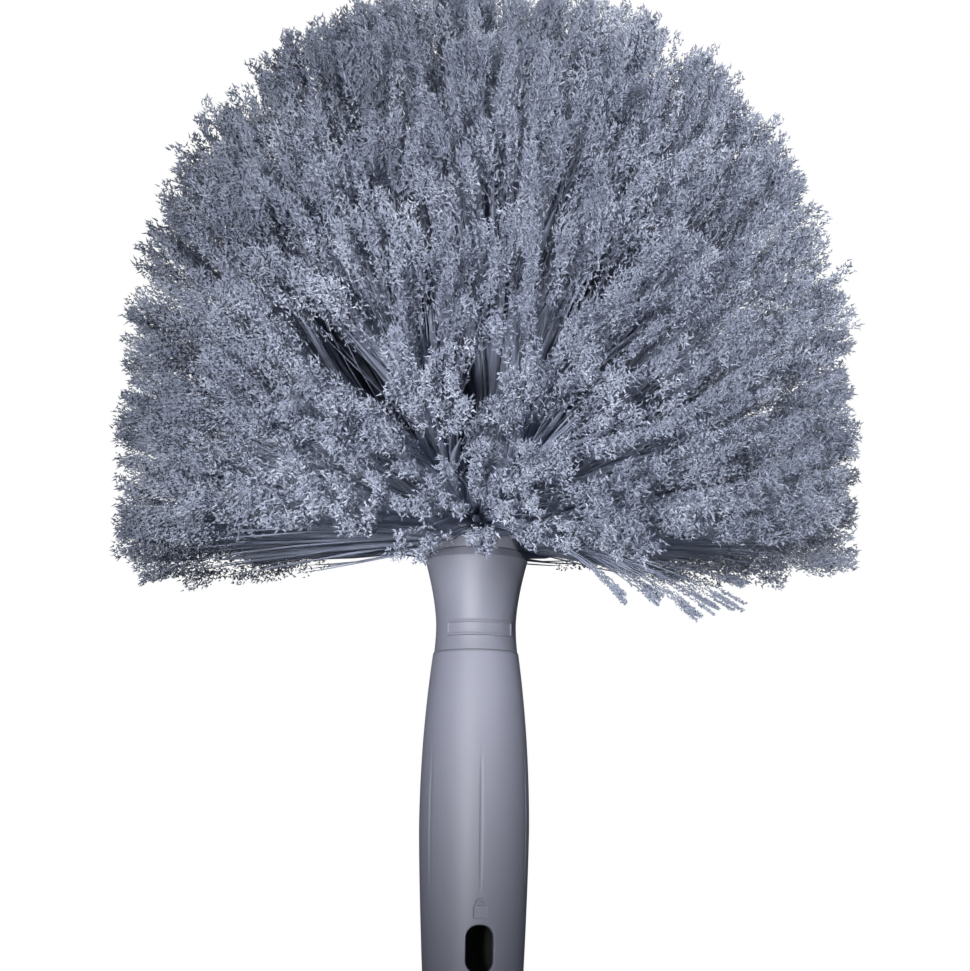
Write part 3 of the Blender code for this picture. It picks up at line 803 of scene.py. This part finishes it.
def lock_tips(chance, row, azimuth, pitch):
    """The tips of a tuft's locks and how loose each lock is; some are cut shorter than the rest.

    The locks of the crown's one tuft wind outwards from its middle, as seeds do in a flower head.
    """
    across, up, low, high = ROW_LOCKS[row - 1]
    for index in range(across * up):
        column, tier = index % across, index // across
        if pitch == math.tau:
            azimuth_at = GOLDEN_ANGLE * index
            climb = 1 - math.sqrt((index + 0.5) / across)
        else:
            jog = chance.uniform(-LOCK_JITTER_SHARE, LOCK_JITTER_SHARE)
            azimuth_at = azimuth + pitch * (
                (column + 0.5 + jog + 0.5 * (tier % 2)) / across - 0.5)
            climb = (tier + 0.5 + chance.uniform(-LOCK_JITTER_SHARE, LOCK_JITTER_SHARE)) / up
        elevation = math.radians(low + (high - low) * climb)
        short = chance.random() < SHORT_LOCK_SHARE
        trim = 1 - chance.uniform(*(SHORT_CUT_SHARES if short else LONG_CUT_SHARES))
        tip = tip_point(azimuth_at, elevation, trim)
        for azimuth_in, elevation_in, radius in PARTINGS:
            middle = tip_point(math.radians(azimuth_in), math.radians(elevation_in), trim)
            if (tip - middle).length < radius:
                tip = middle + (tip - middle).normalized() * radius
        yield tip, 1
    for azimuth_in, elevation_in, reach in STRAY_LOCKS:
        turn = (math.radians(azimuth_in) - azimuth + math.pi) % math.tau - math.pi
        if row == 1 and abs(turn) < pitch / 2:
            away = direction(math.radians(azimuth_in), math.radians(elevation_in))
            yield Vector((HEAD_SHIFT, 0, HEAD_CENTRE)) + away * reach, STRAY_LOOSENESS


def bristle_tree():
    """A dense core and some filaments along each guide curve, with fibrils on their outer ends."""
    tree = bpy.data.node_groups.new("flagged_bristles", "GeometryNodeTree")
    face = tree.interface
    face.new_socket("Geometry", in_out="OUTPUT", socket_type="NodeSocketGeometry")
    face.new_socket("Guides", in_out="INPUT", socket_type="NodeSocketGeometry")
    for name, kind in (
        ("Core Radius", "Float"), ("Filaments", "Int"), ("Filament Radius", "Float"),
        ("Splay", "Float"), ("Wander", "Float"), ("Unevenness", "Float"),
        ("Flag Start", "Float"), ("Flag Spread", "Float"), ("Inner Fibrils", "Int"),
        ("Tip Fibrils", "Int"), ("Fibril Length", "Float"), ("Fibril Radius", "Float"),
        ("Seed", "Int"), ("Finish", "Material"),
    ):
        face.new_socket(name, in_out="INPUT", socket_type="NodeSocket" + kind)
    nodes = Nodes(tree)
    asked = nodes("NodeGroupInput")
    seed = asked.named("Seed")

    def chance(low, high, which, salt, kind="FLOAT"):
        """A random value for each item that which numbers; each use has a salt of its own."""
        return nodes("FunctionNodeRandomValue", {"data_type": kind},
                     {"Min": low, "Max": high, "ID": which, "Seed": seed * 16 + salt})

    def square_on(vector, way):
        """The part of a vector that lies square to a way."""
        share = nodes("ShaderNodeVectorMath", {"operation": "DOT_PRODUCT"}, {0: vector, 1: way})
        return vector - sized(way, share.named("Value"))

    def sized(vector, size):
        """A vector times a number."""
        return nodes("ShaderNodeVectorMath", {"operation": "SCALE"}, {0: vector, "Scale": size})

    def kept(geometry, name, value, domain="POINT", kind="FLOAT"):
        """The geometry with a value stored on it for the fibre's material, or for a later step."""
        return nodes("GeometryNodeStoreNamedAttribute", {"data_type": kind, "domain": domain},
                     {"Geometry": geometry, "Name": name, "Value": value})

    guides = nodes("GeometryNodeMeshToCurve", {}, {"Mesh": asked.named("Guides")})
    own = nodes("GeometryNodeFieldOnDomain", {"domain": "CURVE", "data_type": "INT"},
                {"Value": nodes("GeometryNodeInputIndex")})
    along = nodes("GeometryNodeSplineParameter").named("Factor")
    loose = nodes("GeometryNodeInputNamedAttribute", {"data_type": "FLOAT"}, {"Name": "loose"})
    start = asked.named("Flag Start")

    # Each lock's core ends near the start of its flagged part, and closes nearly to a point
    cores = kept(guides, "along", along)
    # Their tone is kept below the filaments': painted shade for the packed middle of each lock
    cores = kept(cores, "tone", chance(-1, 0, own, 13))
    cores = nodes("GeometryNodeTrimCurve", {}, {
        "Curve": cores, "End": start + chance(-0.04, 0.08, own, 14)})
    cores = nodes("GeometryNodeResampleCurve", {}, {"Curve": cores, "Count": CORE_POINTS})
    closed = nodes("ShaderNodeMapRange", {"interpolation_type": "SMOOTHSTEP"}, {
        "Value": along, "From Min": 0.65, "From Max": 1.0, "To Min": 1.0, "To Max": 0.1})
    girth = chance(0.7, 1.2, own, 15) * loose
    ring = nodes("GeometryNodeCurvePrimitiveCircle", {}, {
        "Resolution": 5, "Radius": asked.named("Core Radius")})
    ring = kept(ring, "around", along)
    cores = nodes("GeometryNodeCurveToMesh", {}, {
        "Curve": cores, "Profile Curve": ring, "Scale": closed * girth, "Fill Caps": True})
    cores = kept(cores, "fuzz", 0.0)

    # The filaments spread from the guide towards their ends, and some are shorter than the rest
    copies = nodes("GeometryNodeDuplicateElements", {"domain": "SPLINE"},
                   {"Geometry": guides, "Amount": asked.named("Filaments")})
    cut_short = asked.named("Unevenness") * chance(0, 1, own, 1) ** 2
    trimmed = nodes("GeometryNodeTrimCurve", {}, {"Curve": copies, "End": 1 - cut_short})
    curves = nodes("GeometryNodeResampleCurve", {}, {"Curve": trimmed, "Count": GUIDE_POINTS})
    way = nodes("GeometryNodeInputTangent")
    aside = chance((-1, -1, -1), (1, 1, 1), own, 2, "FLOAT_VECTOR")
    spot = nodes("GeometryNodeInputPosition")
    drift = nodes("ShaderNodeTexNoise", {"noise_dimensions": "4D"},
                  {"Vector": spot, "W": chance(0, 40, own, 3), "Scale": 22, "Detail": 1}).named("Color")
    drift = nodes("ShaderNodeVectorMath", {"operation": "SUBTRACT"}, {0: drift, 1: (0.5, 0.5, 0.5)})
    moved = sized(square_on(aside, way), asked.named("Splay") * loose * along ** 0.85)
    moved = moved + sized(square_on(drift, way), asked.named("Wander") * along ** 2)
    curves = nodes("GeometryNodeSetPosition", {}, {"Geometry": curves, "Offset": moved})
    curves = kept(curves, "along", along)
    curves = kept(curves, "tone", chance(0, 1, own, 4))

    # Their shafts are thick where they are packed at the root, and thin out where they split
    shafts = nodes("GeometryNodeTrimCurve", {}, {
        "Curve": curves, "End": start + chance(0.02, 0.14, own, 12)})
    thinned = nodes("ShaderNodeMapRange", {"interpolation_type": "SMOOTHSTEP"}, {
        "Value": along, "From Min": 0.8, "From Max": 1.0, "To Min": 1.0, "To Max": 0.25})
    crowded = nodes("ShaderNodeMapRange", {}, {
        "Value": along, "From Min": 0.0, "From Max": 0.5, "To Min": 1.7, "To Max": 1.0})
    profile = nodes("GeometryNodeCurvePrimitiveCircle", {}, {
        "Resolution": 3, "Radius": asked.named("Filament Radius")})
    filaments = nodes("GeometryNodeCurveToMesh", {}, {
        "Curve": shafts, "Profile Curve": profile, "Scale": thinned * crowded, "Fill Caps": True})
    filaments = kept(filaments, "fuzz", 0.0)

    # The fibrils are three-sided spikes that lean outwards, more of them near the filaments' tips
    curves = kept(curves, "way", way, kind="FLOAT_VECTOR")
    flag_start = start + chance(-0.07, 0.1, own, 5)
    flagged = nodes("GeometryNodeTrimCurve", {}, {"Curve": curves, "Start": flag_start})
    tips = nodes("GeometryNodeTrimCurve", {}, {"Curve": curves, "Start": flag_start * 0.4 + 0.6})
    flagged = nodes("GeometryNodeCurveToPoints", {}, {
        "Curve": flagged, "Count": asked.named("Inner Fibrils")})
    tips = nodes("GeometryNodeCurveToPoints", {}, {
        "Curve": tips, "Count": asked.named("Tip Fibrils")})
    roots = nodes("GeometryNodeJoinGeometry", {}, {"Geometry": [flagged, tips]})
    point = nodes("GeometryNodeInputIndex")
    way = nodes("GeometryNodeInputNamedAttribute", {"data_type": "FLOAT_VECTOR"}, {"Name": "way"})
    out = sized(way, chance(0.2, 1.7, point, 7))
    out = out + square_on(chance((-1, -1, -1), (1, 1, 1), point, 6, "FLOAT_VECTOR"), way)
    turned = nodes("FunctionNodeAlignRotationToVector", {"axis": "Z"}, {"Vector": out})
    scatter = square_on(chance((-1, -1, -1), (1, 1, 1), point, 11, "FLOAT_VECTOR"), way)
    roots = nodes("GeometryNodeSetPosition", {}, {
        "Geometry": roots, "Offset": sized(scatter, asked.named("Flag Spread") * loose)})
    length = asked.named("Fibril Length") * (loose * 0.6 + 0.4) * chance(0.65, 1.2, point, 8)
    radius = asked.named("Fibril Radius") * chance(0.75, 1.2, point, 9)
    size = nodes("ShaderNodeCombineXYZ", {}, {"X": radius, "Y": radius, "Z": length})
    spike = nodes("GeometryNodeMeshCone", {"fill_type": "NGON"}, {
        "Vertices": 3, "Side Segments": 1, "Radius Top": 0.0, "Radius Bottom": 1.0, "Depth": 1.0})
    fibrils = nodes("GeometryNodeInstanceOnPoints", {}, {
        "Points": roots, "Instance": spike, "Rotation": turned, "Scale": size})
    fibrils = kept(fibrils, "tone", chance(0, 1, point, 10), "INSTANCE")
    fibrils = nodes("GeometryNodeRealizeInstances", {}, {"Geometry": fibrils})
    fibrils = kept(fibrils, "fuzz", 1.0)

    joined = nodes("GeometryNodeJoinGeometry", {}, {"Geometry": [cores, filaments, fibrils]})
    whole = nodes("GeometryNodeRealizeInstances", {}, {"Geometry": joined})
    finished = nodes("GeometryNodeSetMaterial", {}, {
        "Geometry": whole, "Material": asked.named("Finish")})
    nodes("NodeGroupOutput", {}, {0: finished})
    return tree


def grown(name, guides, tree, settings):
    """The plain mesh that a tree makes of guides, as a new object."""
    source = new_object(name + "_guides", guides)
    modifier = source.modifiers.new("growth", "NODES")
    modifier.node_group = tree
    inputs = [item for item in tree.interface.items_tree if item.in_out == "INPUT"]
    sockets = {item.name: item.identifier for item in inputs}
    for label, value in settings.items():
        modifier[sockets[label]] = value
    source.update_tag()
    seen = source.evaluated_get(bpy.context.evaluated_depsgraph_get())
    mesh = bpy.data.meshes.new_from_object(seen)
    mesh.name = name
    made = bpy.data.objects.new(name, mesh)
    bpy.context.scene.collection.objects.link(made)
    bpy.data.objects.remove(source)
    return made


bristle_fibre, nodes = new_finish("bristle_fibre")
along = nodes("ShaderNodeAttribute", {"attribute_name": "along"}).named("Fac")
tone = nodes("ShaderNodeAttribute", {"attribute_name": "tone"}).named("Fac")
fuzz = nodes("ShaderNodeAttribute", {"attribute_name": "fuzz"}).named("Fac")
place = nodes("ShaderNodeTexCoord").named("Object")
patches = nodes("ShaderNodeTexNoise", {}, {"Vector": place, "Scale": 38, "Detail": 1})
clouds = nodes("ShaderNodeTexNoise", {}, {"Vector": place, "Scale": 110, "Detail": 3})
grain = nodes("ShaderNodeTexNoise", {}, {"Vector": place, "Scale": 2100, "Detail": 2})
around = nodes("ShaderNodeAttribute", {"attribute_name": "around"}).named("Fac")

# Shafts: dark slate, with streaks that run along each strand, and darker towards the root as painted
# shade deep in the head
strand = nodes("ShaderNodeCombineXYZ", {}, {"X": around * 14, "Y": along * 5, "Z": tone * 90})
streaks = nodes("ShaderNodeTexNoise", {}, {"Vector": strand, "Scale": 1.5, "Detail": 1})
shaft = nodes("ShaderNodeValToRGB", {"stops": [
    (0.1, (0.175, 0.195, 0.26)), (0.45, (0.225, 0.25, 0.33)), (0.8, (0.25, 0.277, 0.363))]},
    {0: along + (tone - 0.5) * 0.2 + (streaks - 0.5) * 2})

# The lowest shafts are painted paler: painted light for what reaches them from below the head
height = nodes("ShaderNodeSeparateXYZ", {}, {0: place}).named("Z")
painted_low_light = nodes("ShaderNodeMapRange", {}, {
    "Value": height, "From Min": HEAD_CENTRE, "From Max": HEAD_CENTRE + PAINTED_LOW_LIGHT_RISE,
    "To Min": 1.7, "To Max": 1.0})
shaft = nodes("ShaderNodeVectorMath", {"operation": "SCALE"}, {0: shaft, "Scale": painted_low_light})

# Flags: clouds of painted light and shade over the head, painted lighter towards the tips and darker
# deeper in, and a speckle from fibril to fibril
painted_light_and_shade = (clouds - 0.5) * 1.1 + (patches - 0.5) * 1.2
speckle = (tone - 0.5) * 0.5 + (grain - 0.5) * 1.8 + 0.35
split = 0.2 + speckle * (0.5 + painted_light_and_shade) + painted_light_and_shade + (along - 0.75) * 0.5
flag = nodes("ShaderNodeValToRGB", {"stops": [
    (0.0, (0.22, 0.245, 0.325)), (0.4, (0.29, 0.32, 0.411)), (0.75, (0.36, 0.394, 0.49)),
    (1.0, (0.49, 0.525, 0.625))]}, {0: split})
fibre_colour = nodes("ShaderNodeMix", {"data_type": "RGBA"}, {"Factor": fuzz, "A": shaft, "B": flag})
fibre = nodes("ShaderNodeBsdfPrincipled", {}, {
    "Base Color": fibre_colour, "Roughness": 0.72 + clouds * 0.1,
    "Specular IOR Level": 0.1})
nodes("ShaderNodeOutputMaterial", {}, {"Surface": fibre})

chance = random.Random(SEED)
tree = bristle_tree()
bristle_packs = {}
for name, row, place_in, azimuth, pitch in tuft_places():
    pack_row = min(row, len(PACK_PARTS))
    part = int((azimuth + HAIR) / math.tau * PACK_PARTS[pack_row - 1])
    if row == CROWN_ROW:
        part = CROWN_PART
    bristle_packs.setdefault((pack_row, part), []).append((name, row, place_in, azimuth, pitch))

for (pack_row, part), tufts in bristle_packs.items():
    shape = bmesh.new()
    loose = shape.verts.layers.float.new("loose")
    for name, row, place_in, azimuth, pitch in tufts:
        root = place_in @ Vector((0, 0, -HOLE_DEPTH / 2))
        axis = place_in.col[2].xyz
        for tip, looseness in lock_tips(chance, row, azimuth, pitch):
            handle = root + axis * (tip - root).length * LOCK_BOW_SHARE
            points = []
            for step in range(GUIDE_POINTS):
                share = step / (GUIDE_POINTS - 1)
                inner, outer = root.lerp(handle, share), handle.lerp(tip, share)
                points.append(shape.verts.new(inner.lerp(outer, share)))
                points[-1][loose] = looseness
            for pair in zip(points, points[1:]):
                shape.edges.new(pair)
    splay, unevenness, flag_start, inner, tips, length, radius = ROW_FLAGS[pack_row - 1]
    bristles = grown(f"bristles_{pack_row}_{'abc'[part]}", shape, tree, {
        "Core Radius": CORE_RADII[pack_row - 1],
        "Filaments": FILAMENTS_PER_LOCK, "Filament Radius": FILAMENT_RADIUS,
        "Splay": splay, "Wander": FILAMENT_WANDER, "Unevenness": unevenness,
        "Flag Start": flag_start, "Flag Spread": FLAG_SPREAD,
        "Inner Fibrils": inner, "Tip Fibrils": tips,
        "Fibril Length": length, "Fibril Radius": radius,
        "Seed": 10 * pack_row + part, "Finish": bristle_fibre,
    })
    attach(bristles, "root")
    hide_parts(*[name for name, *_ in tufts])
